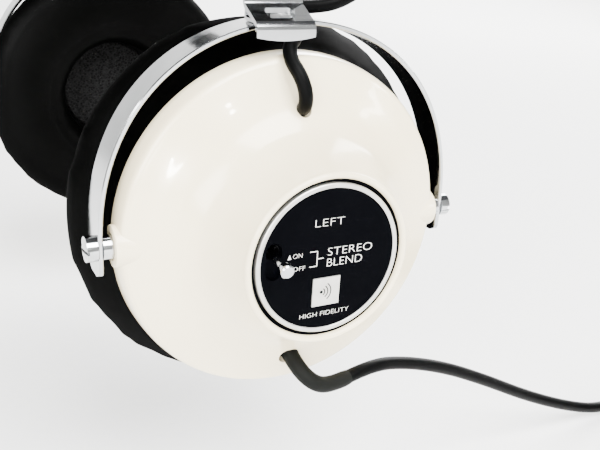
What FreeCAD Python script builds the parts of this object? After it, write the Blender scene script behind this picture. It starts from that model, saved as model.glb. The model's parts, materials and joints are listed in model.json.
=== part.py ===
import FreeCAD, Part
import math
import os

# Over-ear stereo headphones on a sprung steel headband. Millimetres, +Z up, the wearer faces -Y.
# The origin is the middle of the underside of the headband pad, where the head carries the part.
# The left side (+X) is drawn. The right side is its mirror image in the plane x = 0, without the
# switch and the main cord. Each ear cup has its own frame: u outward, y back, z up, with its
# origin in the middle of the shell's rim.

Vec = FreeCAD.Vector
X_AXIS = Vec(1, 0, 0)
Y_AXIS = Vec(0, 1, 0)
Z_AXIS = Vec(0, 0, 1)

# ---- Driving dimensions ----
CUP = Vec(97.0, 4.5, -136.0)        # centre of the left shell's rim

WALL = 2.2                          # ear-cup shell
RIM_R = 50.0
COLLAR_R = 22.0                     # raised collar round the label
RECESS_R = 21.7
RECESS_FLOOR = 25.8
BEZEL_INNER_R = 19.3
BEZEL_OUTER_R = 21.0
POST_CIRCLE_R = 36.0                # four baffle screws
POST_R = 3.5
BAFFLE_BACK = 2.4
BAFFLE_R = 46.3

PIVOT_U = 0.4                       # cup tilt axis, along y
PIVOT_Z = -0.2
BOSS_END = 49.0                     # distance of a boss tip from the cup's middle
BOSS_TIP_R = 4.6
PIN_R = 1.5

YOKE_T = 1.2
YOKE_INNER_R = 51.8
YOKE_CENTRE_Z = 2.7
YOKE_FRONT_U = 3.0
YOKE_BACK_U = -8.0
YOKE_FOOT_Z = -8.3

SHEET = 1.1                         # hanger: one bent strap
STRAP_W = 16.5
STRAP_LENGTH = 38.0
LEAN = 15.0                         # the strap leans inward, degrees
BEND_U = -2.0                       # where the strap's outer face starts
BEND_Z = 60.3
LIP_U = 6.2
LIP_Z = 52.0
PLATE_SLOPE = 26.57                 # slanted plate between lip and strap, degrees
SWIVEL_U = -0.8
SWIVEL_Y = -3.2

HOUSING_T0 = 8.5                    # slider housing, along the strap
HOUSING_T1 = 48.5
HOUSING_HALF_W = 11.0
HOUSING_OUT = 3.2
HOUSING_IN = -8.0
HOUSING_SPLIT = -1.3
CAVITY_HALF_W = 8.6
CAVITY_OUT = 0.3
CAVITY_IN = -6.4
HOUSING_WALL = 1.6
CLAMP_T = 44.0                      # two screws clamp the headband spring
CLAMP_Y = 5.0

BAND_T = 1.0
BAND_W = 16.0
BAND_N = -2.0
BAND_START_T = 14.0
BAND_STRAIGHT_T = 30.0
SHOULDER_R = 50.0
BAND_TOP_Z = 8.0
PAD_BELOW = 8.0
PAD_ABOVE = 4.0
PAD_W = 34.0
PAD_HALF_ANGLE = 49.0

LINK_CORD_R = 1.9
MAIN_CORD_R = 2.05
RELIEF_R = 2.4

COIL_CENTRE = Vec(25.0, 186.0, 0.0)  # in the left cup's frame
COIL_R = 22.0
COIL_WIDE = 16.8
COIL_TALL = 12.4
COIL_BOTTOM = -99.3

PLUG_BOOT = 12.0
PLUG_BARREL = 32.0
PLUG_BARREL_R = 6.25
PLUG_PIN_R = 3.175                  # 6.35 mm stereo plug

SWITCH_U = 23.6                     # lever pivot, in the left cup's frame
SWITCH_Y = -15.6
SWITCH_Z = 3.7
LEVER_DROP = 8.0                    # degrees below straight out, when off

nodes = {}


# ---- Helpers ----
def fused(shapes):
    return shapes[0].multiFuse(shapes[1:]).removeSplitter()


def to_cup(shape):
    """A shape drawn in the left cup's frame, at its place."""
    placed = shape.copy()
    placed.translate(CUP)
    return placed


def to_strap(shape):
    """A shape drawn with x out of the strap's face, z up along the strap, at its place."""
    placed = shape.copy()
    placed.rotate(Vec(0, 0, 0), Y_AXIS, -LEAN)
    placed.translate(Vec(CUP.x + BEND_U, 0, CUP.z + BEND_Z))
    return placed


def keep(name, shape):
    nodes[name] = shape


def keep_pair(name, shape):
    nodes["left_" + name] = shape
    nodes["right_" + name] = shape.mirror(Vec(0, 0, 0), X_AXIS)


def box(x0, x1, y0, y1, z0, z1):
    return Part.makeBox(x1 - x0, y1 - y0, z1 - z0, Vec(x0, y0, z0))


def rod(radius, start, end):
    """A round rod between two points."""
    along = end - start
    return Part.makeCylinder(radius, along.Length, start, along)


def turned(points):
    """A closed outline of (u, r) points, turned about the cup's axis."""
    corners = [Vec(u, 0, r) for u, r in points]
    corners.append(corners[0])
    return Part.Face(Part.makePolygon(corners)).revolve(Vec(0, 0, 0), X_AXIS, 360)


def smooth_edge(points):
    """A smooth curve through (u, r) points."""
    curve = Part.BSplineCurve()
    curve.interpolate([Vec(u, 0, r) for u, r in points])
    return curve.toShape()


def straight_edges(points):
    corners = [Vec(u, 0, r) for u, r in points]
    return [Part.makeLine(a, b) for a, b in zip(corners, corners[1:])]


def turned_edges(edges):
    return Part.Face(Part.Wire(edges)).revolve(Vec(0, 0, 0), X_AXIS, 360)


def bent_sheet(points, radii, thickness, y0, y1):
    """A sheet along a bent centreline in the xz plane. One radius for each inner corner."""
    runs = [(b - a).normalize() for a, b in zip(points, points[1:])]
    normals = [Vec(-run.z, 0, run.x) for run in runs]
    turns = [math.atan2(a.x * b.z - a.z * b.x, a.dot(b)) for a, b in zip(runs, runs[1:])]
    cuts = [0.0] + [r * math.tan(abs(turn) / 2) for r, turn in zip(radii, turns)] + [0.0]

    def side(shift):
        edges = []
        for i, run in enumerate(runs):
            start = points[i] + run * cuts[i] + normals[i] * shift
            end = points[i + 1] - run * cuts[i + 1] + normals[i] * shift
            if (end - start).Length > 1e-6:
                edges.append(Part.makeLine(start, end))
            if i < len(turns):
                sign = math.copysign(1.0, turns[i])
                centre = points[i + 1] - run * cuts[i + 1] + normals[i] * (radii[i] * sign)
                halfway = (normals[i] + normals[i + 1]).normalize()
                middle = centre - halfway * (radii[i] * sign - shift)
                after = points[i + 1] + runs[i + 1] * cuts[i + 1] + normals[i + 1] * shift
                edges.append(Part.Arc(end, middle, after).toShape())
        return edges

    left = side(thickness / 2)
    right = side(-thickness / 2)
    caps = [
        Part.makeLine(points[0] + normals[0] * (thickness / 2), points[0] - normals[0] * (thickness / 2)),
        Part.makeLine(points[-1] + normals[-1] * (thickness / 2), points[-1] - normals[-1] * (thickness / 2)),
    ]
    outline = Part.Wire(Part.__sortEdges__(left + right + caps))
    sheet = Part.Face(outline).extrude(Vec(0, y1 - y0, 0))
    sheet.translate(Vec(0, y0, 0))
    return sheet


def tube(name, points, radius):
    """A round cord of straight runs joined by tangent arcs, as large as the runs allow."""
    corners = [Vec(*p) for p in points]
    runs = [(b - a) for a, b in zip(corners, corners[1:])]
    edges = []
    start = corners[0]
    arc_radii = []
    for i in range(1, len(corners) - 1):
        before = Vec(runs[i - 1]).normalize()
        after = Vec(runs[i]).normalize()
        half_turn = before.getAngle(after) / 2
        cut = 0.45 * min(runs[i - 1].Length, runs[i].Length)
        arc_radius = cut / math.tan(half_turn)
        arc_radii.append(round(arc_radius, 1))
        inward = (after - before).normalize()
        centre = corners[i] + inward * (arc_radius / math.cos(half_turn))
        arc_start = corners[i] - before * cut
        arc_end = corners[i] + after * cut
        edges.append(Part.LineSegment(start, arc_start).toShape())
        edges.append(Part.Arc(arc_start, centre - inward * arc_radius, arc_end).toShape())
        start = arc_end
    edges.append(Part.LineSegment(start, corners[-1]).toShape())
    path = Part.Wire(edges)
    section = Part.Wire([Part.makeCircle(radius, corners[0], runs[0])])
    solid = path.makePipeShell([section], True, False)
    ratio = solid.Volume / (math.pi * radius ** 2 * path.Length)
    print(f"{name}: length {path.Length:.1f} mm, arc radii {arc_radii}, volume ratio {ratio:.4f}")
    return solid


# ---- Headband ----
def headband_arcs():
    """Centre height and radius of the band's top arc, and the angle where it meets the shoulder."""
    lean = math.radians(LEAN)
    out = Vec(math.cos(lean), 0, math.sin(lean))
    up = Vec(-math.sin(lean), 0, math.cos(lean))
    bend = Vec(CUP.x + BEND_U, 0, CUP.z + BEND_Z)
    foot = bend + out * BAND_N + up * BAND_START_T
    shoulder_start = bend + out * BAND_N + up * BAND_STRAIGHT_T
    shoulder = shoulder_start - out * SHOULDER_R
    drop = shoulder.z - BAND_TOP_Z
    top_r = (SHOULDER_R ** 2 - shoulder.x ** 2 - drop ** 2) / (2 * (drop + SHOULDER_R))
    centre_z = BAND_TOP_Z - top_r
    angle = math.atan2(shoulder.z - centre_z, shoulder.x)
    return foot, shoulder_start, up, top_r, centre_z, angle


def headband_spring():
    foot, shoulder_start, up, top_r, centre_z, angle = headband_arcs()
    meet = Vec(top_r * math.cos(angle), 0, centre_z + top_r * math.sin(angle))
    along = Vec(-math.sin(angle), 0, math.cos(angle))
    shoulder_turn = angle - math.radians(LEAN)
    corner = shoulder_start + up * (SHOULDER_R * math.tan(shoulder_turn / 2))
    apex = meet + along * (top_r * math.tan(math.pi / 2 - angle))
    path = [foot, corner, apex, Vec(-corner.x, 0, corner.z), Vec(-foot.x, 0, foot.z)]
    band = bent_sheet(path, [SHOULDER_R, top_r, SHOULDER_R], BAND_T, -BAND_W / 2, BAND_W / 2)
    for y in (-CLAMP_Y, CLAMP_Y):
        hole = to_strap(rod(1.5, Vec(HOUSING_IN, y, CLAMP_T), Vec(HOUSING_OUT, y, CLAMP_T)))
        band = band.cut(hole).cut(hole.mirror(Vec(0, 0, 0), X_AXIS))
    return band


def arc_block(inner_r, outer_r, width, half_angle, centre_z):
    """A block bent round the headband's top arc."""
    section = box(inner_r, outer_r, -width / 2, width / 2, 0, 0.01).Faces
    flat = [f for f in section if abs(f.CenterOfMass.z) < 1e-6][0]
    block = flat.revolve(Vec(0, 0, 0), Y_AXIS, -2 * half_angle)
    block.rotate(Vec(0, 0, 0), Y_AXIS, half_angle - 90)
    block.translate(Vec(0, 0, centre_z))
    return block


def headband_pad():
    top_r, centre_z = headband_arcs()[3:5]
    pad = arc_block(top_r - PAD_BELOW, top_r + PAD_ABOVE, PAD_W, PAD_HALF_ANGLE, centre_z)
    slot = arc_block(top_r - 0.8, top_r + 0.8, BAND_W + 1, PAD_HALF_ANGLE + 1, centre_z)
    long_edges = [
        e for e in pad.Edges
        if e.Length > 100 and e.CenterOfMass.z > -60
    ]
    return pad.makeFillet(3.5, long_edges).cut(slot)


# ---- Slider housings ----
def housing_half(n0, n1, show_face_n):
    half = box(n0, n1, -HOUSING_HALF_W, HOUSING_HALF_W, HOUSING_T0, HOUSING_T1)
    corners = [e for e in half.Edges if abs(e.tangentAt(e.FirstParameter).x) > 0.99]
    half = half.makeFillet(3.0, corners)
    rim = [
        e for e in half.Edges
        if abs(e.BoundBox.XMin - show_face_n) + abs(e.BoundBox.XMax - show_face_n) < 1e-3
    ]
    return half.makeFillet(1.1, rim)


def slider_housings():
    inside = box(CAVITY_IN, CAVITY_OUT, -CAVITY_HALF_W, CAVITY_HALF_W,
                 HOUSING_T0 + HOUSING_WALL, HOUSING_T1 - HOUSING_WALL)
    strap_slot = box(-1.45, CAVITY_OUT, -CAVITY_HALF_W, CAVITY_HALF_W, HOUSING_T0 - 1, HOUSING_T0 + 3)
    band_slot = box(CAVITY_IN - 0.2, -4.0, -8.3, 8.3, HOUSING_T1 - 3, HOUSING_T1 + 1)
    spring_pocket = box(0.0, 1.7, -3.5, 3.5, 12.0, 37.0)
    hollow = fused([inside, strap_slot, band_slot])
    outer = housing_half(HOUSING_SPLIT, HOUSING_OUT, HOUSING_OUT).cut(hollow).cut(spring_pocket)
    inner = housing_half(HOUSING_IN, HOUSING_SPLIT, HOUSING_IN).cut(hollow)
    screws = []
    for y in (-CLAMP_Y, CLAMP_Y):
        outer = outer.fuse(rod(2.6, Vec(CAVITY_OUT + 0.2, y, CLAMP_T), Vec(-2.6, y, CLAMP_T)))
        outer = outer.cut(rod(1.25, Vec(-3.0, y, CLAMP_T), Vec(2.0, y, CLAMP_T)))
        inner = inner.fuse(rod(2.6, Vec(CAVITY_IN - 0.2, y, CLAMP_T), Vec(-5.7, y, CLAMP_T)))
        inner = inner.cut(rod(1.4, Vec(HOUSING_IN - 1, y, CLAMP_T), Vec(-5.0, y, CLAMP_T)))
        inner = inner.cut(rod(2.3, Vec(HOUSING_IN - 1, y, CLAMP_T), Vec(HOUSING_IN + 1.0, y, CLAMP_T)))
        shank = rod(1.2, Vec(HOUSING_IN + 0.2, y, CLAMP_T), Vec(1.8, y, CLAMP_T))
        head = rod(2.2, Vec(HOUSING_IN + 0.1, y, CLAMP_T), Vec(HOUSING_IN + 1.0, y, CLAMP_T))
        cross = box(HOUSING_IN, HOUSING_IN + 0.6, y - 1.5, y + 1.5, CLAMP_T - 0.25, CLAMP_T + 0.25)
        screws.append(fused([shank, head]).cut(cross))
    keep_pair("slider_outer_cover", to_strap(outer))
    keep_pair("slider_inner_cover", to_strap(inner))
    left_screws = [to_strap(s) for s in screws]
    right_screws = [s.mirror(Vec(0, 0, 0), X_AXIS) for s in left_screws]
    keep("slider_screws", Part.makeCompound(left_screws + right_screws))


def detent_springs():
    """Bowed leaf springs in the housings, which press on the straps."""
    path = [Vec(n, 0, t) for n, t in ((1.3, 13), (1.3, 17), (0.6, 23), (0.6, 26), (1.3, 32), (1.3, 36))]
    leaf = to_strap(bent_sheet(path, [8, 8, 8, 8], 0.4, -3.0, 3.0))
    keep("detent_springs", Part.makeCompound([leaf, leaf.mirror(Vec(0, 0, 0), X_AXIS)]))


# ---- Hanger: strap, foot plate and swivel ----
def crossing(a, along_a, b, along_b):
    """Where two lines in the xz plane cross."""
    gap = b - a
    scale = (gap.x * along_b.z - gap.z * along_b.x) / (along_a.x * along_b.z - along_a.z * along_b.x)
    return a + along_a * scale


def hanger():
    lean = math.radians(LEAN)
    slope = math.radians(PLATE_SLOPE)
    out = Vec(math.cos(lean), 0, math.sin(lean))
    up = Vec(-math.sin(lean), 0, math.cos(lean))
    plate_run = Vec(-math.cos(slope), 0, math.sin(slope))
    plate_under = Vec(-math.sin(slope), 0, -math.cos(slope))
    bend = Vec(BEND_U, 0, BEND_Z)
    strap_foot = bend - out * (SHEET / 2)
    plate_point = bend + plate_under * (SHEET / 2)
    lip_foot = Vec(LIP_U - SHEET / 2, 0, LIP_Z - 1)
    roll = crossing(lip_foot, Z_AXIS, plate_point, plate_run)
    crease = crossing(strap_foot, up, plate_point, plate_run)
    path = [lip_foot, roll, crease, strap_foot + up * STRAP_LENGTH]
    sheet = bent_sheet(path, [1.7, 1.6], SHEET, -STRAP_W / 2, STRAP_W / 2)
    lip_curve_r = 38.3
    sheet = sheet.common(rod(lip_curve_r, Vec(-30, 0, LIP_Z + lip_curve_r), Vec(20, 0, LIP_Z + lip_curve_r)))
    window = box(-0.3, 3.8, -4.0, 3.8, 50, 66)
    window = window.makeFillet(1.1, [e for e in window.Edges if abs(e.tangentAt(e.FirstParameter).z) > 0.99])
    top = [e for e in sheet.Edges if e.BoundBox.ZMin > 95.0 and e.Length < 2.0]
    sheet = sheet.makeFillet(3.0, top).cut(window)
    sheet.translate(Vec(CUP.x, 0, CUP.z))
    return sheet


def foot_plate():
    """The bracket behind the strap: it carries the swivel bolt and the link cord's eye."""
    path = [Vec(1.8, 0, 56.3), Vec(-4.5, 0, 56.3), Vec(-4.5, 0, 60.9), Vec(-5.55, 0, 67.0)]
    plate = bent_sheet(path, [1.0, 8.0], 0.9, -7.0, 7.0)
    eye_y0, eye_y1 = 5.0, 8.0
    hole_r = LINK_CORD_R + 0.2
    eye = rod(hole_r + 1.1, Vec(-10, eye_y0, 58.7), Vec(-10, eye_y1, 58.7))
    tab = box(-8.2, -4.3, eye_y0, 7.0, 58.2, 59.2)
    hole = rod(hole_r, Vec(-10, eye_y0 - 1, 58.7), Vec(-10, eye_y1 + 1, 58.7))
    bolt_y = CUP.y + SWIVEL_Y
    bolt_hole = rod(1.3, Vec(SWIVEL_U, bolt_y, 54), Vec(SWIVEL_U, bolt_y, 58))
    shape = fused([plate, eye, tab]).cut(hole).cut(bolt_hole)
    shape.translate(Vec(CUP.x, 0, CUP.z))
    return shape


def swivel_bolt():
    centre = Vec(SWIVEL_U, SWIVEL_Y, 0)
    head = rod(2.7, centre + Z_AXIS * 52.7, centre + Z_AXIS * 53.9)
    shank = rod(1.25, centre + Z_AXIS * 53.5, centre + Z_AXIS * 58.2)
    slot = box(SWIVEL_U - 3, SWIVEL_U + 3, SWIVEL_Y - 0.3, SWIVEL_Y + 0.3, 52, 53.2)
    return to_cup(fused([head, shank]).cut(slot))


def swivel_nut():
    across_flats = 5.0
    corner_r = across_flats / math.sqrt(3)
    corners = [
        Vec(SWIVEL_U + corner_r * math.cos(math.radians(30 + 60 * k)),
            SWIVEL_Y + corner_r * math.sin(math.radians(30 + 60 * k)), 56.75)
        for k in range(7)
    ]
    nut = Part.Face(Part.makePolygon(corners)).extrude(Vec(0, 0, 1.25))
    bore = rod(1.25, Vec(SWIVEL_U, SWIVEL_Y, 56), Vec(SWIVEL_U, SWIVEL_Y, 59))
    return to_cup(nut.cut(bore))


# ---- Yoke ----
def yoke():
    """A flat steel strip bent over the cup, with straight legs down to the two pivots."""
    outer_r = YOKE_INNER_R + YOKE_T
    width = YOKE_FRONT_U - YOKE_BACK_U
    start = Vec(YOKE_BACK_U, 0, YOKE_CENTRE_Z)
    ring = Part.makeCylinder(outer_r, width, start, X_AXIS)
    ring = ring.cut(Part.makeCylinder(YOKE_INNER_R, width, start, X_AXIS))
    ring = ring.common(box(-20, 20, -60, 60, YOKE_CENTRE_Z, 70))
    legs = []
    for side in (-1, 1):
        ys = sorted((side * YOKE_INNER_R, side * outer_r))
        leg = box(YOKE_BACK_U, YOKE_FRONT_U, ys[0], ys[1], YOKE_FOOT_Z, YOKE_CENTRE_Z)
        ends = [
            e for e in leg.Edges
            if abs(e.tangentAt(e.FirstParameter).y) > 0.99 and e.BoundBox.ZMax < YOKE_FOOT_Z + 0.1
        ]
        legs.append(leg.makeFillet(3.8, ends))
    strip = fused([ring] + legs)
    pin_hole = rod(1.6, Vec(PIVOT_U, -60, PIVOT_Z), Vec(PIVOT_U, 60, PIVOT_Z))
    bolt_hole = rod(1.35, Vec(SWIVEL_U, SWIVEL_Y, 50), Vec(SWIVEL_U, SWIVEL_Y, 60))
    return to_cup(strip.cut(pin_hole).cut(bolt_hole))


def pivot_fittings():
    """Shoulder screws through the yoke's feet, and the bushes between yoke and cup."""
    screws = []
    bushes = []
    outer = YOKE_INNER_R + YOKE_T
    for side in (-1, 1):
        def at(distance):
            return Vec(PIVOT_U, side * distance, PIVOT_Z)
        shank = rod(PIN_R, at(44.6), at(outer + 1.0))
        head = rod(3.4, at(outer + 0.05), at(outer + 2.9))
        dome = Part.makeSphere(7.6, at(outer - 4.2))
        crown = rod(3.4, at(outer + 2.5), at(outer + 3.5)).common(dome)
        ys = sorted((side * (outer + 2.3), side * (outer + 4.0)))
        slot = box(PIVOT_U - 4, PIVOT_U + 4, ys[0], ys[1], PIVOT_Z - 0.45, PIVOT_Z + 0.45)
        screws.append(to_cup(fused([shank, head, crown]).cut(slot)))
        bush = rod(3.35, at(BOSS_END + 0.15), at(YOKE_INNER_R - 0.05))
        bushes.append(to_cup(bush.cut(rod(1.55, at(40), at(60)))))
    keep_pair("pivot_screws", Part.makeCompound(screws))
    keep_pair("pivot_bushes", Part.makeCompound(bushes))


# ---- Ear-cup shell ----
OUTER_CURVE = [(1.5, 50), (3.6, 49), (5.4, 46.5), (6.6, 43), (8, 38.5), (10, 34), (13, 30),
               (17.5, 27), (22.5, 24.9), (27, 23.6)]
INNER_CURVE = [(21.7, 22.8), (16.4, 25.1), (11.6, 28.5), (8.2, 32.8), (6, 37.8), (4.6, 42.1),
               (3.9, 44.6), (2.9, 46.6), (1.6, 47.5)]


def shell_body():
    collar = [
        Part.Arc(Vec(27, 0, 23.6), Vec(27.95, 0, 23.3), Vec(28.3, 0, 22.8)).toShape(),
        Part.Arc(Vec(28.3, 0, 22.8), Vec(28.1, 0, 22.1), Vec(27.5, 0, RECESS_R)).toShape(),
    ]
    recess = straight_edges([(27.5, RECESS_R), (RECESS_FLOOR, RECESS_R), (RECESS_FLOOR, 16),
                             (RECESS_FLOOR - 2, 16), (RECESS_FLOOR - 2, COLLAR_R), INNER_CURVE[0]])
    rim = straight_edges([INNER_CURVE[-1], (0, 50 - WALL), (0, RIM_R), OUTER_CURVE[0]])
    return turned_edges([smooth_edge(OUTER_CURVE)] + collar + recess + [smooth_edge(INNER_CURVE)] + rim)


def solid_under(curve, start_u):
    """The full solid inside a shell curve, for trimming."""
    points = sorted(curve)
    edges = [smooth_edge(points)]
    closing = [points[-1], (points[-1][0], 0), (start_u, 0), (start_u, points[0][1]), points[0]]
    edges += straight_edges(closing)
    return turned_edges(edges)


def post_centres():
    for k in range(4):
        angle = math.radians(45 + 90 * k)
        yield POST_CIRCLE_R * math.cos(angle), POST_CIRCLE_R * math.sin(angle)


def shell(has_switch):
    body = shell_body()
    outside = solid_under(OUTER_CURVE, -3)
    inside = solid_under(INNER_CURVE, -3)
    for side in (-1, 1):
        ys = sorted((side * BOSS_END, side * 52))
        body = body.cut(box(-1, 8, ys[0], ys[1], -6, 6))
    extras = []
    for side in (-1, 1):
        tip = Vec(PIVOT_U, side * BOSS_END, PIVOT_Z)
        cone = Part.makeCone(BOSS_TIP_R, 7.4, 10.5, tip, Vec(0, -side, 0))
        cone = cone.common(box(-2.6, 20, -60, 60, -10, 10))
        extras.append(cone.cut(inside.common(box(-10, 20, -44, 44, -20, 20))))
    for y, z in post_centres():
        post = rod(POST_R, Vec(BAFFLE_BACK, y, z), Vec(14, y, z)).common(outside)
        extras.append(post)
    body = fused([body] + extras)
    for y, z in post_centres():
        body = body.cut(rod(1.3, Vec(0, y, z), Vec(6.6, y, z)))
    body = body.cut(rod(PIN_R + 0.05, Vec(PIVOT_U, -60, PIVOT_Z), Vec(PIVOT_U, -44.4, PIVOT_Z)))
    body = body.cut(rod(PIN_R + 0.05, Vec(PIVOT_U, 44.4, PIVOT_Z), Vec(PIVOT_U, 60, PIVOT_Z)))
    body = body.cut(rod(LINK_CORD_R + 0.5, Vec(4.0, 0, 34.2), Vec(14.0, -0.4, 35.6)))
    if has_switch:
        body = body.cut(box(20, 30, -19.9, -11.8, -5.5, 8.1))
        for y in (-1.0, 0.0):
            body = body.cut(rod(2.7, Vec(3.0, y + 0.5, -36.1), Vec(14.0, y + 1.2, -42.3)))
    return to_cup(body)


# ---- Label, bezel and emblem ----
def label_plate(has_switch):
    plate = rod(BEZEL_INNER_R, Vec(RECESS_FLOOR, 0, 0), Vec(27.3, 0, 0))
    if has_switch:
        half_w = 2.2
        low = Vec(20, SWITCH_Y, -1.4)
        high = Vec(20, SWITCH_Y, 4.2)
        window = fused([
            rod(half_w, low, low + X_AXIS * 10),
            rod(half_w, high, high + X_AXIS * 10),
            box(20, 30, SWITCH_Y - half_w, SWITCH_Y + half_w, low.z, high.z),
        ])
        plate = plate.cut(window)
    return to_cup(plate)


def bezel_ring():
    return to_cup(turned([(RECESS_FLOOR, BEZEL_INNER_R), (27.5, BEZEL_INNER_R),
                          (27.7, BEZEL_INNER_R + 0.2), (27.7, BEZEL_OUTER_R - 0.2),
                          (27.5, BEZEL_OUTER_R), (RECESS_FLOOR, BEZEL_OUTER_R)]))


def emblem():
    half = 3.94
    plate = box(27.3, 27.7, -0.33 - half, -0.33 + half, -8.84 - half, -8.84 + half)
    return to_cup(plate)


# ---- Inside the cup ----
def baffle():
    disc = turned([(0.2, 0), (BAFFLE_BACK, 0), (BAFFLE_BACK, BAFFLE_R), (0.2, BAFFLE_R)])
    holes = []
    for circle_r, count in ((5.5, 6), (10.5, 12), (15.5, 18)):
        for k in range(count):
            angle = 2 * math.pi * k / count
            y, z = circle_r * math.cos(angle), circle_r * math.sin(angle)
            holes.append(rod(1.2, Vec(-1, y, z), Vec(5, y, z)))
    for k in range(8):
        angle = 2 * math.pi * (k + 0.5) / 8
        y, z = 31.5 * math.cos(angle), 31.5 * math.sin(angle)
        holes.append(rod(1.0, Vec(-1, y, z), Vec(5, y, z)))
    for y, z in post_centres():
        holes.append(rod(1.4, Vec(-1, y, z), Vec(5, y, z)))
        holes.append(rod(2.9, Vec(-1, y, z), Vec(1.3, y, z)))
    for side in (-1, 1):
        ys = sorted((side * 43.6, side * 50))
        holes.append(box(-1, 5, ys[0], ys[1], -8, 8))
    return to_cup(disc.cut(Part.makeCompound(holes)))


def baffle_screws():
    screws = []
    for y, z in post_centres():
        head = rod(2.8, Vec(0.1, y, z), Vec(1.3, y, z))
        shank = rod(1.25, Vec(1.0, y, z), Vec(6.4, y, z))
        slot = box(-1, 0.6, y - 2.2, y + 2.2, z - 0.3, z + 0.3)
        screws.append(to_cup(fused([head, shank]).cut(slot)))
    return Part.makeCompound(screws)


def driver_basket():
    return to_cup(turned([(BAFFLE_BACK, 28.5), (4.2, 28.5), (4.2, 26), (10, 16), (12, 16), (12, 8),
                          (10.6, 8), (10.6, 14.6), (9.2, 14.6), (3.6, 24.6), (BAFFLE_BACK, 24.6)]))


def driver_magnet():
    return to_cup(turned([(12, 3), (12, 13), (15.6, 13), (15.6, 3)]))


def driver_cone():
    return to_cup(turned([(2.6, 24.3), (8.2, 9.9), (6.4, 0), (5.7, 0), (7.4, 9.4), (2.6, 23.2)]))


def grille():
    return to_cup(turned([(-3.2, 0), (-0.2, 0), (-0.2, 21.5), (-2.4, 21.5), (-3.2, 20.7)]))


def cushion():
    """The padded ring round the ear."""
    round_side = [(-0.5, 47.6), (-4.5, 48.9), (-8.8, 51.2), (-13, 53.8), (-17, 54.8), (-21.5, 54.0),
                  (-25, 51.0), (-26.9, 45.5), (-27, 38), (-26.3, 31), (-23, 25), (-17, 22.2),
                  (-9, 22.0), (-3.5, 22.6), (-0.5, 24)]
    ring = turned_edges([smooth_edge(round_side)] + straight_edges([round_side[-1], round_side[0]]))
    for side in (-1, 1):
        ys = sorted((side * 43.6, side * 60))
        ring = ring.cut(box(-3.2, 5, ys[0], ys[1], -6.6, 6.6))
    return to_cup(ring)


# ---- Crossfeed switch, in the left cup only ----
def switch_body():
    case = box(16.0, 23.7, -19.6, -12.0, -5.2, 7.8)
    bushing = rod(3.4, Vec(23.6, SWITCH_Y, SWITCH_Z), Vec(25.6, SWITCH_Y, SWITCH_Z))
    socket = rod(2.2, Vec(SWITCH_U - 2.3, SWITCH_Y, SWITCH_Z), Vec(27, SWITCH_Y, SWITCH_Z))
    return to_cup(fused([case, bushing]).cut(socket))


def switch_lever():
    """A flared chrome lever on a cross pin. Off is just below straight out."""
    pivot = Vec(SWITCH_U, SWITCH_Y, SWITCH_Z)
    profile = [(-1.5, 0), (-1.5, 0.3), (-1.0, 1.15), (0, 1.6), (0.9, 1.3), (1.3, 1.05), (6.0, 1.1),
               (9.0, 1.35), (11.2, 1.8), (11.6, 1.8), (11.9, 1.5), (11.9, 0)]
    lever = fused([turned(profile), rod(0.7, Vec(0, -1.9, 0), Vec(0, 1.9, 0))])
    lever.rotate(Vec(0, 0, 0), Y_AXIS, LEVER_DROP)
    lever.translate(pivot)
    return to_cup(lever)


def crossfeed_board():
    return to_cup(box(20.0, 21.6, -12.0, 14.0, -5.0, 7.6))


# ---- Cords ----
LINK_LOWER = [(6.6, 0, 34.5), (11.4, -0.3, 35.2), (12.6, -2.6, 39.6), (10.6, -3.1, 43.9),
              (8.0, -3.8, 47.2)]
LINK_UPPER = [(-10, 6, 58.7), (-10, 14, 58.5), (-10.3, 22.5, 61), (-11, 30.5, 66.5), (-12.2, 36, 75),
              (-13.6, 37, 85), (-15, 33, 94), (-16.2, 25.5, 99.5), (-17, 15.5, 100.9),
              (-17, 6.5, 100.9)]
RELIEF = [(4.6, 0.6, -37.0), (11.0, 1.0, -40.6), (15.0, 5.0, -45.2), (15.2, 10.5, -47.1),
          (14, 17.5, -46.4)]
MAIN_CORD = [(14, 17.5, -46.4), (12.4, 27, -45.2), (10.6, 40, -48.1), (8.8, 58, -55), (6.8, 78, -65.5),
             (5.2, 100, -78), (3.8, 122, -88.7), (2.9, 141, -95.8), (2.6, 155, -97.95),
             (2.8, 170, -97.95)]
TAIL = [(25, 208, -97.95), (38.5, 209, -97.95), (52, 203.8, -96.5), (61, 192, -93.75),
        (63.5, 178.5, -93.75)]


def main_cord_coil():
    """The put-away length, as the outer shape of the tied coil."""
    bottom = COIL_BOTTOM
    section = box(COIL_R - COIL_WIDE / 2, COIL_R + COIL_WIDE / 2, 0, 1, bottom, bottom + COIL_TALL)
    corners = [e for e in section.Edges if abs(e.tangentAt(e.FirstParameter).y) > 0.99]
    section = section.makeFillet(4.5, corners)
    face = [f for f in section.Faces if abs(f.CenterOfMass.y) < 1e-6 and f.Area > 50][0]
    ring = face.revolve(Vec(0, 0, 0), Z_AXIS, 360)
    ring.translate(COIL_CENTRE)
    return to_cup(ring)


def cord_tie():
    """A flat band round the coil, on the side nearer the cup."""
    y = COIL_CENTRE.y - COIL_R
    gap = 0.7
    outer = box(COIL_CENTRE.x - 3, COIL_CENTRE.x + 3, y - COIL_WIDE / 2 - gap, y + COIL_WIDE / 2 + gap + 0.4,
                COIL_BOTTOM - gap, COIL_BOTTOM + COIL_TALL + gap)
    outer = outer.makeFillet(4.5, [e for e in outer.Edges if abs(e.tangentAt(e.FirstParameter).x) > 0.99])
    return to_cup(outer).cut(main_cord_coil())


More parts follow.
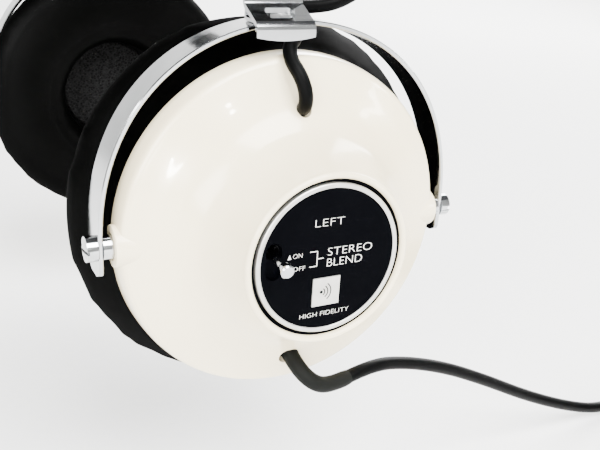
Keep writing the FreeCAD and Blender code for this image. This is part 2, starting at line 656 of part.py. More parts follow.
def plug():
    """A 6.35 mm stereo plug on the cord's end, lying on the surface."""
    start = Vec(*TAIL[-1])
    along = (start - Vec(*TAIL[-2])).normalize()

    def along_plug(profile):
        shape = turned(profile)
        shape.rotate(Vec(0, 0, 0), Z_AXIS, math.degrees(math.atan2(along.y, along.x)))
        shape.translate(start)
        return to_cup(shape)

    barrel_end = PLUG_BOOT + PLUG_BARREL
    sleeve_end = barrel_end + 17.0
    ring_end = sleeve_end + 6.0
    boot = [(0, 0), (0, 2.9), (PLUG_BOOT, 3.9), (PLUG_BOOT, 0)]
    barrel = [(PLUG_BOOT, 0), (PLUG_BOOT, 5.4), (PLUG_BOOT + 1.2, PLUG_BARREL_R),
              (barrel_end - 1.0, PLUG_BARREL_R), (barrel_end, 5.4), (barrel_end, 0)]
    shank = [(barrel_end, 0), (barrel_end, PLUG_PIN_R), (sleeve_end, PLUG_PIN_R), (sleeve_end, 2.9),
             (sleeve_end + 1, 2.9), (sleeve_end + 1, PLUG_PIN_R), (ring_end - 1, PLUG_PIN_R),
             (ring_end - 1, 2.9), (ring_end, 2.9), (ring_end, 0)]
    tip = [(ring_end, 0), (ring_end, PLUG_PIN_R), (ring_end + 1.2, PLUG_PIN_R), (ring_end + 2.6, 2.1),
           (ring_end + 3.8, 2.9), (ring_end + 4.8, 2.9), (ring_end + 7, 0.8), (ring_end + 7, 0)]
    keep("plug_boot", along_plug(boot))
    keep("plug_barrel", along_plug(barrel))
    keep("plug_shank", along_plug(shank))
    keep("plug_tip", along_plug(tip))


def cords():
    keep_pair("link_cord_lower", to_cup(tube("link cord, cup end", LINK_LOWER, LINK_CORD_R)))
    keep_pair("link_cord_upper", to_cup(tube("link cord, headband end", LINK_UPPER, LINK_CORD_R)))
    keep("strain_relief", to_cup(tube("strain relief", RELIEF, RELIEF_R)))
    keep("main_cord", to_cup(tube("main cord", MAIN_CORD, MAIN_CORD_R)))
    keep("main_cord_tail", to_cup(tube("main cord tail", TAIL, MAIN_CORD_R)))
    keep("main_cord_coil", main_cord_coil())
    keep("cord_tie", cord_tie())
    plug()


# ---- The whole object ----
keep("headband_spring", headband_spring())
keep("headband_pad", headband_pad())
slider_housings()
detent_springs()
keep_pair("hanger", hanger())
keep_pair("foot_plate", foot_plate())
keep_pair("swivel_bolt", swivel_bolt())
keep_pair("swivel_nut", swivel_nut())
keep_pair("yoke", yoke())
pivot_fittings()
for piece in (bezel_ring, emblem, baffle, baffle_screws, driver_basket, driver_magnet, driver_cone,
              grille, cushion):
    keep_pair(piece.__name__, piece())
keep("left_shell", shell(True))
keep("right_shell", shell(False).mirror(Vec(0, 0, 0), X_AXIS))
keep("left_label_plate", label_plate(True))
keep("right_label_plate", label_plate(False).mirror(Vec(0, 0, 0), X_AXIS))
keep("switch_body", switch_body())
keep("switch_lever", switch_lever())
keep("crossfeed_board", crossfeed_board())
cords()

os.makedirs("parts", exist_ok=True)
for name, shape in nodes.items():
    shape.exportStep(f"parts/{name}.step")
print(len(nodes), "nodes")
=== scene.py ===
import json
import math

import bmesh
import bpy
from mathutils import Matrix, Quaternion, Vector, noise


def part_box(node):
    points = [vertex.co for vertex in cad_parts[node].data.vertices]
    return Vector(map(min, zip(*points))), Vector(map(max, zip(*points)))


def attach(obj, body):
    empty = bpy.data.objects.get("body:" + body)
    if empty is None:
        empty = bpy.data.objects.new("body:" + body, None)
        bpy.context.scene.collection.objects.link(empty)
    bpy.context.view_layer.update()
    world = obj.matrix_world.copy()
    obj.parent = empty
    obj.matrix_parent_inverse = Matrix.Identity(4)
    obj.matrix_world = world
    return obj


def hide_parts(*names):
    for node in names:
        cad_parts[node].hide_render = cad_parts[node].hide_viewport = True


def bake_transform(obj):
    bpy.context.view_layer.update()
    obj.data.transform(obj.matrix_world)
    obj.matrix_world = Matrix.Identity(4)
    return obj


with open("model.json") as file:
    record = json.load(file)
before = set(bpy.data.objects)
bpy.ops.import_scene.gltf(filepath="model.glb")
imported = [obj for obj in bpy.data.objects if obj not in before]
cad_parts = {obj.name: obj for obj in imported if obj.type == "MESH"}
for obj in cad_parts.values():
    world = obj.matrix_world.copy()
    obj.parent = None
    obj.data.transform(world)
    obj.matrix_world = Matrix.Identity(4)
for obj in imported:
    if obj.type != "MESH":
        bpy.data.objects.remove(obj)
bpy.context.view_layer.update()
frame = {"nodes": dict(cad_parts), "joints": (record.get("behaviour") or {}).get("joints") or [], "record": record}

# Over-ear stereo headphones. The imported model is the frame; this script adds the looks.
# Lengths are written in millimetres and turned into metres by MM.
MM = 0.001

# ---- Places taken from the frame ----
JOINTS = {joint["name"]: joint for joint in frame["joints"]}
PIVOT_U = 0.4                       # where the tilt axis passes in the cup's own frame
PIVOT_Z = -0.2
TILT_POINT = Vector(JOINTS["left_tilt"]["pos_m"])
CUP = TILT_POINT - Vector((PIVOT_U, 0, PIVOT_Z)) * MM
FLOOR_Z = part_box("plug_barrel")[0][2]         # the plug lies on the surface
LEFT = 1
RIGHT = -1
SIDES = (("left", LEFT), ("right", RIGHT))


def cup_point(u, y, z, side=LEFT):
    """A point given in a cup's own frame: u outward, y back, z up, in millimetres."""
    return Vector((side * (CUP.x + u * MM), CUP.y + y * MM, CUP.z + z * MM))


# ---- Meshes ----
def mesh_object(name, verts, faces, smooth=True, sharp=None):
    """An object in the scene from points and faces. Edges above the angle sharp, in degrees, stay crisp."""
    mesh = bpy.data.meshes.new(name)
    mesh.from_pydata([tuple(v) for v in verts], [], faces)
    mesh.update()
    return finish_mesh(name, mesh, smooth, sharp)


def finish_mesh(name, mesh, smooth=True, sharp=None):
    """An object in the scene for a mesh, with its normals outward and its shading set."""
    shaped = bmesh.new()
    shaped.from_mesh(mesh)
    bmesh.ops.remove_doubles(shaped, verts=shaped.verts, dist=1e-7)
    bmesh.ops.recalc_face_normals(shaped, faces=shaped.faces)
    shaped.to_mesh(mesh)
    shaped.free()
    for polygon in mesh.polygons:
        polygon.use_smooth = smooth
    if sharp:
        mesh.set_sharp_from_angle(angle=math.radians(sharp))
    obj = bpy.data.objects.new(name, mesh)
    bpy.context.scene.collection.objects.link(obj)
    return obj


def applied(obj):
    """The object with its modifiers made real, in place of the old one."""
    bpy.context.view_layer.update()
    shown = obj.evaluated_get(bpy.context.evaluated_depsgraph_get())
    mesh = bpy.data.meshes.new_from_object(shown)
    name = obj.name
    bpy.data.objects.remove(obj)
    new = bpy.data.objects.new(name, mesh)
    bpy.context.scene.collection.objects.link(new)
    return new


def smooth_line(points, steps):
    """A curve through 2-D points, as a list of points (Catmull-Rom)."""
    padded = [points[0]] + list(points) + [points[-1]]
    line = []
    for before, a, b, after in zip(padded, padded[1:], padded[2:], padded[3:]):
        for k in range(steps):
            t = k / steps
            line.append(tuple(
                0.5 * (2 * a[i] + (b[i] - before[i]) * t
                       + (2 * before[i] - 5 * a[i] + 4 * b[i] - after[i]) * t ** 2
                       + (3 * a[i] - before[i] - 3 * b[i] + after[i]) * t ** 3)
                for i in range(2)
            ))
    line.append(tuple(points[-1]))
    return line


def ring_faces(rows, columns, closed_rows):
    """Quads of a grid that is closed round its columns, and round its rows if asked."""
    faces = []
    for i in range(rows if closed_rows else rows - 1):
        for k in range(columns):
            a, b = i * columns, (i + 1) % rows * columns
            faces.append((a + k, a + (k + 1) % columns, b + (k + 1) % columns, b + k))
    return faces


def turned(name, profile, side, columns, sharp=None):
    """A closed profile of (u, radius) pairs turned about a cup's own axis."""
    verts = []
    for u, r in profile:
        for k in range(columns):
            angle = 2 * math.pi * k / columns
            verts.append(cup_point(u, r * math.cos(angle), r * math.sin(angle), side))
    return mesh_object(name, verts, ring_faces(len(profile), columns, True), sharp=sharp)


def route_line(name, points):
    """The points along a smooth route, as many as the spline shows."""
    curve = bpy.data.curves.new(name + "_route", "CURVE")
    fill_route(curve, points)
    carrier = bpy.data.objects.new(name + "_route", curve)
    bpy.context.scene.collection.objects.link(carrier)
    bpy.context.view_layer.update()
    mesh = bpy.data.meshes.new_from_object(carrier)
    line = [v.co.copy() for v in mesh.vertices]
    bpy.data.objects.remove(carrier)
    bpy.data.meshes.remove(mesh)
    return line


def fill_route(curve, points):
    """A NURBS spline with the route's points as its control points."""
    curve.dimensions = "3D"
    curve.resolution_u = 12
    spline = curve.splines.new("NURBS")
    spline.points.add(len(points) - 1)
    for place, point in zip(spline.points, points):
        place.co = (*point, 1.0)
    spline.order_u = 3
    spline.use_endpoint_u = True


def tube_mesh(name, line, radius_at, sides=20):
    """A round tube along a line of points. radius_at gives its radius from 0 to 1 along it."""
    steps = [(b - a).length for a, b in zip(line, line[1:])]
    total = sum(steps)
    verts = []
    along = 0.0
    across = None
    for i, point in enumerate(line):
        direction = (line[min(i + 1, len(line) - 1)] - line[max(i - 1, 0)]).normalized()
        if across is None:
            across = direction.orthogonal().normalized()
        across = (across - direction * across.dot(direction)).normalized()
        other = direction.cross(across)
        radius = radius_at(along / total)
        for k in range(sides):
            angle = 2 * math.pi * k / sides
            verts.append(point + (across * math.cos(angle) + other * math.sin(angle)) * radius)
        if i < len(steps):
            along += steps[i]
    faces = ring_faces(len(line), sides, False)
    faces.append(tuple(range(sides)))
    faces.append(tuple(reversed(range((len(line) - 1) * sides, len(line) * sides))))
    return mesh_object(name, verts, faces, sharp=50)


# ---- Materials ----
class Nodes:
    """A material's node tree, with short names for what is used here."""

    def __init__(self, name):
        self.material = bpy.data.materials.new(name)
        self.material.use_nodes = True
        self.tree = self.material.node_tree
        self.shader = self.tree.nodes["Principled BSDF"]
        self.place = self.add("ShaderNodeTexCoord").outputs["Object"]

    def add(self, kind, **settings):
        node = self.tree.nodes.new(kind)
        for key, value in settings.items():
            setattr(node, key, value)
        return node

    def join(self, output, socket):
        self.tree.links.new(output, socket)

    def scaled(self, x, y, z):
        mapping = self.add("ShaderNodeMapping")
        mapping.inputs["Scale"].default_value = (x, y, z)
        self.join(self.place, mapping.inputs["Vector"])
        return mapping.outputs["Vector"]

    def noise(self, scale, detail=4.0, roughness=0.5, vector=None):
        node = self.add("ShaderNodeTexNoise")
        node.inputs["Scale"].default_value = scale
        node.inputs["Detail"].default_value = detail
        node.inputs["Roughness"].default_value = roughness
        self.join(vector or self.place, node.inputs["Vector"])
        return node.outputs["Fac"]

    def cells(self, scale, feature="F1"):
        node = self.add("ShaderNodeTexVoronoi", feature=feature)
        node.inputs["Scale"].default_value = scale
        self.join(self.place, node.inputs["Vector"])
        return node.outputs["Distance"]

    def ramp(self, factor, low, high, low_at=0.3, high_at=0.7):
        """Colour low to colour high over part of a factor's range."""
        node = self.add("ShaderNodeValToRGB")
        node.color_ramp.elements[0].position = low_at
        node.color_ramp.elements[0].color = (*low, 1)
        node.color_ramp.elements[1].position = high_at
        node.color_ramp.elements[1].color = (*high, 1)
        self.join(factor, node.inputs["Fac"])
        return node.outputs["Color"]

    def span(self, factor, low, high):
        """A factor turned into a value from low to high."""
        node = self.add("ShaderNodeMapRange")
        node.inputs["To Min"].default_value = low
        node.inputs["To Max"].default_value = high
        self.join(factor, node.inputs["Value"])
        return node.outputs["Result"]

    def bump(self, height, strength, distance, under=None):
        node = self.add("ShaderNodeBump")
        node.inputs["Strength"].default_value = strength
        node.inputs["Distance"].default_value = distance
        self.join(height, node.inputs["Height"])
        if under:
            self.join(under, node.inputs["Normal"])
        return node.outputs["Normal"]

    def set(self, **values):
        """Constant values, or links, on the shader's sockets. Underscores stand for spaces."""
        for key, value in values.items():
            socket = self.shader.inputs[key.replace("_", " ")]
            if isinstance(value, bpy.types.NodeSocket):
                self.join(value, socket)
            elif socket.type == "RGBA":
                socket.default_value = (*value, 1)
            else:
                socket.default_value = value


def cream_shell():
    """Polished cream moulding, a little yellowed, with faint swirl and handling marks."""
    m = Nodes("cream_shell")
    mottle = m.noise(18, 3)
    flecks = m.noise(900, 2)
    haze = m.noise(60, 5, 0.6)
    m.set(
        Base_Color=m.ramp(mottle, (0.80, 0.69, 0.46), (0.84, 0.74, 0.52)),
        Roughness=m.span(haze, 0.16, 0.27),
        Coat_Weight=0.3,
        Coat_Roughness=0.05,
        Normal=m.bump(flecks, 0.05, 0.0001, m.bump(mottle, 0.03, 0.0006)),
    )
    return m.material


def chrome_steel():
    """Bright plate with fine polishing lines and slight haze."""
    m = Nodes("chrome_steel")
    lines = m.noise(260, 3, 0.6, m.scaled(1, 0.25, 6))
    haze = m.noise(70, 4)
    m.set(
        Base_Color=m.ramp(haze, (0.40, 0.41, 0.42), (0.50, 0.51, 0.52)),
        Metallic=1.0,
        Roughness=m.span(lines, 0.05, 0.16),
        Normal=m.bump(lines, 0.05, 0.0001, m.bump(haze, 0.05, 0.0004)),
    )
    return m.material


def zinc_steel():
    """Dull plated screws and springs."""
    m = Nodes("zinc_steel")
    lines = m.noise(900, 3)
    m.set(
        Base_Color=m.ramp(m.noise(200, 3), (0.42, 0.43, 0.44), (0.62, 0.62, 0.60)),
        Metallic=1.0,
        Roughness=m.span(lines, 0.28, 0.45),
        Normal=m.bump(lines, 0.1, 0.0001),
    )
    return m.material


def moulded(name, dark, light, roughness, grain, gloss=0.08):
    """Black moulding or vinyl with a fine grain, in greys from dark to light."""
    m = Nodes(name)
    texture = m.noise(grain, 4, 0.6)
    m.set(
        Base_Color=m.ramp(m.noise(60, 3), dark, light),
        Roughness=m.span(m.noise(140, 4), *roughness),
        Specular_IOR_Level=gloss,
        Normal=m.bump(texture, 0.12, 0.0001),
    )
    return m.material


def label_black():
    """Blue-black satin lacquer on the label plate."""
    m = Nodes("label_black")
    specks = m.noise(2600, 2)
    m.set(
        Base_Color=m.ramp(m.noise(90, 4), (0.0004, 0.0005, 0.0009), (0.0007, 0.0008, 0.0013)),
        Roughness=m.span(specks, 0.5, 0.65),
        Specular_IOR_Level=0.01,
        Normal=m.bump(specks, 0.15, 0.00006),
    )
    return m.material


def bezel_silver(name="bezel_silver"):
    """Bright satin aluminium with turned lines."""
    m = Nodes(name)
    lines = m.noise(1400, 2, 0.5, m.scaled(5, 1, 1))
    m.set(
        Base_Color=m.ramp(m.noise(300, 2), (0.50, 0.49, 0.46), (0.60, 0.59, 0.56)),
        Metallic=0.85,
        Roughness=m.span(lines, 0.3, 0.45),
        Normal=m.bump(lines, 0.08, 0.0001),
    )
    return m.material


def soft_vinyl(name, dark, light):
    """Black leathercloth: fine pebbled grain, creases, and a soft shine on the high places."""
    m = Nodes(name)
    pebbles = m.cells(1500, "DISTANCE_TO_EDGE")
    creases = m.noise(420, 6, 0.65)
    folds = m.noise(45, 3)
    grain = m.bump(pebbles, 0.25, 0.00012)
    m.set(
        Base_Color=m.ramp(folds, dark, light),
        Roughness=m.span(creases, 0.42, 0.56),
        Specular_IOR_Level=0.0,
        Coat_Weight=0.045,
        Coat_Roughness=0.42,
        Normal=m.bump(creases, 0.3, 0.00025, grain),
    )
    return m.material


def grille_foam():
    """Open-celled black foam."""
    m = Nodes("grille_foam")
    pores = m.cells(900)
    m.set(
        Base_Color=m.ramp(pores, (0.0006, 0.0006, 0.0006), (0.008, 0.008, 0.008), 0.1, 0.6),
        Roughness=0.95,
        Specular_IOR_Level=0.05,
        Normal=m.bump(pores, 0.9, 0.0006),
    )
    return m.material


def cone_paper():
    """Dark pressed paper with loose fibres."""
    m = Nodes("cone_paper")
    fibres = m.noise(700, 6, 0.7)
    m.set(
        Base_Color=m.ramp(fibres, (0.03, 0.03, 0.03), (0.08, 0.075, 0.07)),
        Roughness=0.9,
        Normal=m.bump(fibres, 0.5, 0.0003),
    )
    return m.material


def magnet_iron():
    """Grey ferrite and machined iron."""
    m = Nodes("magnet_iron")
    lines = m.noise(600, 3)
    m.set(
        Base_Color=m.ramp(lines, (0.08, 0.08, 0.085), (0.18, 0.18, 0.185)),
        Metallic=0.6,
        Roughness=m.span(lines, 0.45, 0.65),
        Normal=m.bump(lines, 0.2, 0.0002),
    )
    return m.material


def board_laminate():
    """Brown laminate with a woven grain."""
    m = Nodes("board_laminate")
    fibres = m.noise(500, 5, 0.6, m.scaled(1, 4, 1))
    m.set(
        Base_Color=m.ramp(fibres, (0.20, 0.12, 0.045), (0.36, 0.24, 0.10)),
        Roughness=0.5,
        Normal=m.bump(fibres, 0.15, 0.0002),
    )
    return m.material


def print_ink():
    """Screen-printed silver-white ink."""
    m = Nodes("print_ink")
    grain = m.noise(3000, 2)
    m.set(
        Base_Color=m.ramp(grain, (0.62, 0.61, 0.57), (0.80, 0.79, 0.75)),
        Roughness=0.5,
        Normal=m.bump(grain, 0.1, 0.00005),
    )
    return m.material


def thread():
    """Black stitching thread."""
    m = Nodes("thread")
    twist = m.noise(2500, 3)
    m.set(
        Base_Color=m.ramp(twist, (0.012, 0.012, 0.013), (0.04, 0.04, 0.042)),
        Roughness=0.7,
        Normal=m.bump(twist, 0.4, 0.0001),
    )
    return m.material


MATERIALS = {
    "cream_shell": cream_shell(),
    "chrome_steel": chrome_steel(),
    "zinc_steel": zinc_steel(),
    "black_plastic": moulded(
        "black_plastic", (0.0012, 0.0012, 0.0013), (0.0022, 0.0022, 0.0024), (0.35, 0.5), 1600,
    ),
    "housing_black": moulded(
        "housing_black", (0.001, 0.001, 0.0012), (0.0018, 0.0018, 0.002), (0.25, 0.4), 2200, gloss=0.15,
    ),
    "label_black": label_black(),
    "bezel_silver": bezel_silver(),
    "emblem_silver": bezel_silver("emblem_silver"),
    "magnet_iron": magnet_iron(),
    "cone_paper": cone_paper(),
    "grille_foam": grille_foam(),
    "cushion_vinyl": soft_vinyl("cushion_vinyl", (0.0003, 0.00033, 0.0003), (0.0007, 0.00075, 0.0007)),
    "pad_vinyl": soft_vinyl("pad_vinyl", (0.0003, 0.0003, 0.00033), (0.0007, 0.0007, 0.0008)),
    "cord_vinyl": moulded(
        "cord_vinyl", (0.0004, 0.00045, 0.00045), (0.0008, 0.00085, 0.0009), (0.36, 0.48), 1200, gloss=0.035,
    ),
    "relief_vinyl": moulded(
        "relief_vinyl", (0.0030, 0.0033, 0.0030), (0.0055, 0.006, 0.0052), (0.45, 0.6), 900, gloss=0.05,
    ),
    "board_laminate": board_laminate(),
    "print_ink": print_ink(),
    "thread": thread(),
}


def paint(obj, slot_name, material=None):
    """Gives a piece its material: the one named by material, or else the one named by slot_name."""
    obj.data.materials.clear()
    obj.data.materials.append(MATERIALS[material or slot_name])


def paint_frame():
    """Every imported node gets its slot's material. The bushes are as bright as the yoke they sit in."""
    for entry in frame["record"]["subparts"]:
        obj = frame["nodes"][entry["node"]]
        slot_name = "chrome_steel" if "pivot_bushes" in entry["node"] else entry["material_slot"]
        for place in obj.material_slots:
            place.material = MATERIALS[slot_name]


# ---- Camera ----
SENSOR_WIDTH = 36.0
FOCAL_LENGTH = 48.757
CAMERA_AT = (192.62, -97.18, 82.23)
CAMERA_AIM = (2.30, 4.45, -0.31)
CAMERA_ROLL = 3.36


def camera():
    """The photograph's view: from the front left, a little above the cup."""
    lens = bpy.data.cameras.new("view")
    lens.sensor_width = SENSOR_WIDTH
    lens.lens = FOCAL_LENGTH
    lens.clip_start = 0.01
    place = bpy.data.objects.new("view", lens)
    bpy.context.scene.collection.objects.link(place)
    place.location = cup_point(*CAMERA_AT)
    towards = cup_point(*CAMERA_AIM) - place.location
    roll = Quaternion((0, 0, 1), math.radians(CAMERA_ROLL))
    place.rotation_mode = "QUATERNION"
    place.rotation_quaternion = towards.to_track_quat("-Z", "Y") @ roll
    bpy.context.scene.camera = place


# ---- Cords ----
LINK_CORD_R = 1.9
MAIN_CORD_R = 2.05
RELIEF_R = 2.5
LINK_LOWER = [(6.6, 0, 34.5), (10.9, -0.6, 35.1), (12.5, -1.3, 40.0), (10.9, -2.6, 44.4),
              (8.0, -3.8, 47.2), (5.0, -3.2, 50.6), (1.5, 0.6, 52.3), (-3.5, 2.0, 52.5),
              (-7.6, 2.4, 54.4), (-9.8, 2.8, 56.8), (-10, 4.0, 58.7), (-10, 6, 58.7)]
LINK_UPPER = [(-10, 6, 58.7), (-10, 14, 58.5), (-10.3, 22.5, 61), (-11, 30.5, 66.5), (-12.2, 36, 75),
              (-13.6, 37, 85), (-15, 33, 94), (-16.2, 25.5, 99.5), (-17, 15.5, 100.9),
              (-17, 6.5, 100.9)]
RELIEF = [(4.6, 0.6, -37.0), (11.0, 1.0, -40.6), (15.0, 5.0, -45.2), (15.2, 10.5, -47.1),
          (14, 17.5, -46.4)]
MAIN_CORD = [(14, 17.5, -46.4), (12.4, 27, -45.2), (10.6, 40, -48.1), (8.8, 58, -55), (6.8, 78, -65.5),
             (5.2, 100, -78), (3.8, 122, -88.7), (2.9, 141, -95.8), (1.2, 155, -97.95),
             (-1.8, 170, -97.95)]
TAIL = [(38.5, 212.0, -92.5), (52, 204.5, -94.5), (61, 192, -93.75), (63.5, 178.5, -93.75)]
COIL_CENTRE = (25.0, 186.0)
COIL_R = 22.0
CORD_PITCH = 4.15                   # a hair over the cord's thickness, so that turns lie side by side
COIL_ROWS = 4
COIL_LAYERS = 3
POINTS_PER_TURN = 16
STEP_SHARE = 0.125                  # share of a turn in which the cord crosses to the next place


def coil_points():
    """Turns in flat layers, wound inward and outward by turns, from the side nearer the cup."""
    def step(value, start):
        return min(max((value - start) / STEP_SHARE, 0.0), 1.0)

    points = []
    turns = COIL_ROWS * COIL_LAYERS
    for k in range(int(turns * POINTS_PER_TURN + POINTS_PER_TURN / 4) + 1):
        turn, part = divmod(k / POINTS_PER_TURN, 1.0)
        turn = int(turn)
        if turn >= turns:
            turn, part = turns - 1, 1.0
        layer, column = divmod(turn, COIL_ROWS)
        shift_at = 0.75 - 0.25 * layer
        last = column == COIL_ROWS - 1
        across = column + (0.0 if last else step(part, shift_at))
        rising = last and layer < COIL_LAYERS - 1
        level = layer + (step(part, shift_at - STEP_SHARE) if rising else 0.0)
        if layer % 2:
            across = COIL_ROWS - 1 - across
        middle = (COIL_ROWS - 1) / 2
        radius = COIL_R + (middle - across) * CORD_PITCH
        height = FLOOR_Z / MM - CUP.z / MM + MAIN_CORD_R + level * CORD_PITCH
        angle = math.pi - 2 * math.pi * k / POINTS_PER_TURN
        points.append((COIL_CENTRE[0] + radius * math.cos(angle),
                       COIL_CENTRE[1] + radius * math.sin(angle), height))
    return points


def main_cord():
    """The whole cord from the strain relief to the plug, with its put-away coil."""
    curve = bpy.data.curves.new("main_cord_whole", "CURVE")
    fill_route(curve, [cup_point(*p) for p in MAIN_CORD + coil_points() + TAIL])
    curve.bevel_depth = MAIN_CORD_R * MM
    curve.bevel_resolution = 5
    cord = bpy.data.objects.new("main_cord_whole", curve)
    bpy.context.scene.collection.objects.link(cord)
    paint(cord, "cord_vinyl")
    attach(cord, "left_cup")
    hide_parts("main_cord", "main_cord_coil", "main_cord_tail")
    return cord


def strain_relief():
    """A moulded sleeve, thick at the shell and tapered to the cord."""
    line = route_line("relief", [cup_point(*p) for p in RELIEF])

    def radius(t):
        tip = max(t - 0.95, 0) / 0.05
        return MM * (RELIEF_R - 0.15 * t - 0.2 * tip)

    relief = tube_mesh("strain_relief_sleeve", line, radius, 28)
    paint(relief, "relief_vinyl")
    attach(relief, "left_cup")
    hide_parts("strain_relief")
    return relief


def link_cords():
    """Each cup's short cord to the headband, in two pieces that meet at the hanger's foot plate."""
    for name, side in SIDES:
        for part, points, gone in (
            ("cup", LINK_LOWER, "_link_cord_lower"),
            ("band", LINK_UPPER, "_link_cord_upper"),
        ):
            route = [cup_point(*p, side) for p in points]
            line = route_line(name + part, route)
            tube = tube_mesh(f"{name}_link_cord_{part}", line, lambda t: LINK_CORD_R * MM)
            paint(tube, "cord_vinyl")
            if part == "cup":
                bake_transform(tube)
            else:
                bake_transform(tube)
            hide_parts(name + gone)


# ---- Ear-cup shells ----
# Each profile below is a list of (u, radius) pairs about the cup's own axis.
OUTER_CURVE = [(-2.6, 48.5), (0.0, 48.4), (2.4, 48.15), (4.1, 47.7), (4.9, 46.9), (5.35, 45.8), (6.6, 42.5),
               (8, 38.5), (10, 34), (13, 30), (17.5, 27), (22.5, 24.9), (27, 23.6)]
COLLAR_CURVE = [(27, 23.6), (27.6, 23.5), (28.05, 23.2), (28.3, 22.8), (28.25, 22.4), (28.0, 22.0),
                (27.5, 21.7)]
RECESS_PROFILE = [(26.6, 21.7), (25.8, 21.7), (25.8, 18.5), (25.8, 16), (23.8, 16), (23.8, 22)]
INNER_CURVE = [(21.7, 22.8), (16.4, 25.1), (11.6, 28.5), (8.2, 32.8), (6, 37.8), (4.6, 42.1),
               (3.4, 45.0), (1.5, 46.4), (-1.0, 46.9)]
RIM_PROFILE = [(-2.7, 47.1), (-2.95, 47.4), (-2.95, 48.2), (-2.85, 48.45)]
# The black card and liner: the part running up the recess wall is painted shade for the gap round the silver ring.
CARD_AND_SHADE_LINER_PROFILE = [(25.82, 12.2), (25.95, 12.2), (25.95, 21.0), (26.9, 21.05), (27.0, 21.3), (26.95, 21.66),
                (25.82, 21.69)]
SILVER_PROFILE = [(26.3, 19.3), (27.55, 19.32), (27.68, 19.5), (27.68, 20.35), (27.5, 20.55), (26.3, 20.6)]
SHELL_COLUMNS = 512
LABEL_COLUMNS = 192
BOSS_COLUMNS = 64
BOSS_R = 5.7
BOSS_GROWTH = 0.06                  # how much the radius grows per mm towards the shell
BOSS_END = 49.2
BOSS_START = 41.0
BOSS_LOWEST_U = -2.8                # cut flat at the shell's rim
# Each drill is (start, end, radius) in the cup's own frame.
LINK_HOLE = ((4, 0, 34.2), (14, 0, 35.6), 2.05)
SWITCH_WINDOW = ((21, -15.8, 1.3), (27, -15.8, 1.3), 4.7)
RELIEF_HOLES = (((3, -0.5, -36.1), (14, 0.2, -42.3), 2.7), ((3, 0.5, -36.1), (14, 1.2, -42.3), 2.7))
LEVER_HOLE = ((25, -15.6, 3.7), (28, -15.6, 3.7), 2.0)


def shell_mesh(name, side):
    """The moulded cup: dome, raised collar, the label's recess, the inner wall and the rim."""
    outer = smooth_line(OUTER_CURVE, 7)[:-1]
    collar = smooth_line(COLLAR_CURVE, 4)
    inner = smooth_line(INNER_CURVE, 3)
    profile = outer + collar + RECESS_PROFILE + inner + RIM_PROFILE
    return turned(name, profile, side, SHELL_COLUMNS, sharp=60)


def pivot_bosses(name, side):
    """The two round bosses that carry the cup's shoulder screws, with an eased end and a soft root."""
    profile = [
        (BOSS_START, BOSS_R + 0.5), (BOSS_END - 4.0, BOSS_R + BOSS_GROWTH * 4.0),
        (BOSS_END - 0.6, BOSS_R), (BOSS_END - 0.15, BOSS_R - 0.15), (BOSS_END, BOSS_R - 0.6),
        (BOSS_END, 3.7), (BOSS_END - 0.5, 3.6), (BOSS_END - 0.5, 1.6), (BOSS_START, 1.6),
    ]
    verts, faces = [], []
    for end in (-1, 1):
        base = len(verts)
        for along, radius in profile:
            for k in range(BOSS_COLUMNS):
                angle = 2 * math.pi * k / BOSS_COLUMNS
                u = max(PIVOT_U + radius * math.cos(angle), BOSS_LOWEST_U)
                verts.append(cup_point(u, end * along, PIVOT_Z + radius * math.sin(angle), side))
        faces += [tuple(base + i for i in face) for face in ring_faces(len(profile), BOSS_COLUMNS, True)]
    return mesh_object(name, verts, faces, sharp=40)


def drilled(obj, hole, side):
    """The piece with a round hole cut through it. A hole is (start, end, radius)."""
    start, end = cup_point(*hole[0], side), cup_point(*hole[1], side)
    radius = hole[2] * MM
    cutter = tube_mesh("drill", [start, (start + end) / 2, end], lambda t: radius, 48)
    modifier = obj.modifiers.new("hole", "BOOLEAN")
    modifier.operation = "DIFFERENCE"
    modifier.solver = "EXACT"
    modifier.object = cutter
    result = applied(obj)
    bpy.data.objects.remove(cutter)
    return result


def label_card_and_shade_liner(name, side):
    """The black card under the label plate, which also lines the recess floor and wall in black. Its edge shows
    round the silver ring as painted shade in the gap there, and it blacks out the shaded space seen through the
    switch window.
    """
    card_and_liner = turned(name + "_label_card_and_shade_liner", CARD_AND_SHADE_LINER_PROFILE, side, LABEL_COLUMNS, sharp=40)
    if side == LEFT:
        card_and_liner = drilled(card_and_liner, LEVER_HOLE, side)
    paint(card_and_liner, "label_black")
    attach(card_and_liner, name + "_cup")


def silver_ring(name, side):
    """The bright ring that holds the label plate, a little inside the edge of the black card, whose edge is
    painted shade for the gap.
    """
    ring = turned(name + "_silver_ring", SILVER_PROFILE, side, LABEL_COLUMNS, sharp=35)
    paint(ring, "bezel_silver")
    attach(ring, name + "_cup")
    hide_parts(name + "_bezel_ring")


# ---- Yokes ----
YOKE_WIDE = (-8.0, 3.0)
YOKE_THICK = 1.2
YOKE_EDGE = 0.25
YOKE_R = 51.8
YOKE_RISE = 1.1                     # how much higher than round the arch stands
YOKE_SHOULDER = 1.1                 # how much fuller than round it is between foot and top
YOKE_CENTRE_Z = 2.7
YOKE_FOOT_Z = -8.3
FOOT_ROUND = 2.6
LEG_STEPS = 10
ARCH_STEPS = 96


def yoke_line():
    """The inner line of the yoke in the cup's y and z: two straight legs and a full arch."""
    leg = YOKE_CENTRE_Z - YOKE_FOOT_Z
    line = [(-YOKE_R, YOKE_FOOT_Z + i * leg / LEG_STEPS) for i in range(LEG_STEPS)]
    for i in range(ARCH_STEPS + 1):
        angle = math.pi - math.pi * i / ARCH_STEPS
        lift = YOKE_RISE * math.sin(angle) ** 2 + YOKE_SHOULDER * math.sin(2 * angle) ** 2
        line.append(((YOKE_R + lift) * math.cos(angle), YOKE_CENTRE_Z + (YOKE_R + lift) * math.sin(angle)))
    line += [(YOKE_R, YOKE_CENTRE_Z - i * leg / LEG_STEPS) for i in range(1, LEG_STEPS + 1)]
    return line


